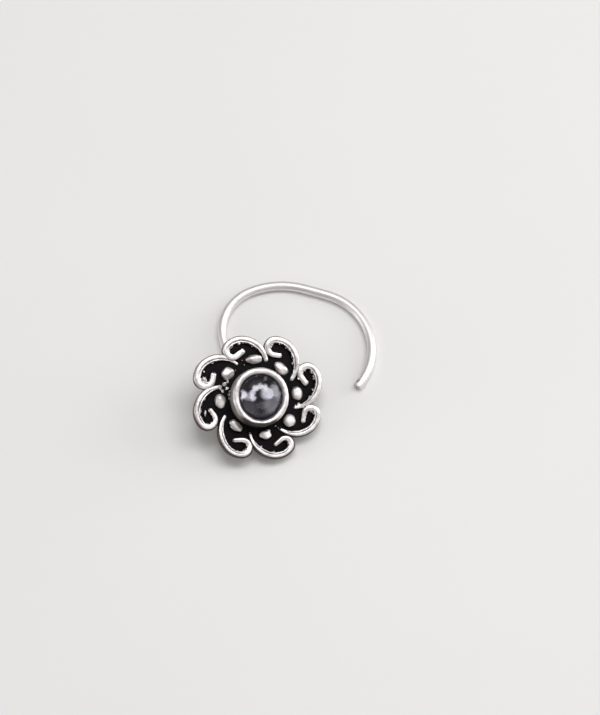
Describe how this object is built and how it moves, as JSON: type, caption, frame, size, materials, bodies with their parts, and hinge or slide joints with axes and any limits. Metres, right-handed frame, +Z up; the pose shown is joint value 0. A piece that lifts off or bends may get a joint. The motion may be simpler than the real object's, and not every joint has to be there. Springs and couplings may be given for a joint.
{
  "type": "nose stud",
  "caption": "Silver nose stud lying on a surface: a flower head of curled scrolls and granules round a clear cabochon in a bezel, with a bent wire hook behind it.",
  "frame": {"origin": "middle of the stud's bottom as it lies on a surface", "axes": "+Z up from the surface, the hook's loop lies level and passes the head on its +Y side"},
  "size_m": [0.0144, 0.0158, 0.0047],
  "materials": {
    "silver": "polished silver on the raised work, blackened in the recesses",
    "stone": "clear polished cabochon over a dark cup"
  },
  "bodies": {
    "root": {"silver_stud": "silver", "cabochon": "stone"}
  },
  "joints": []
}
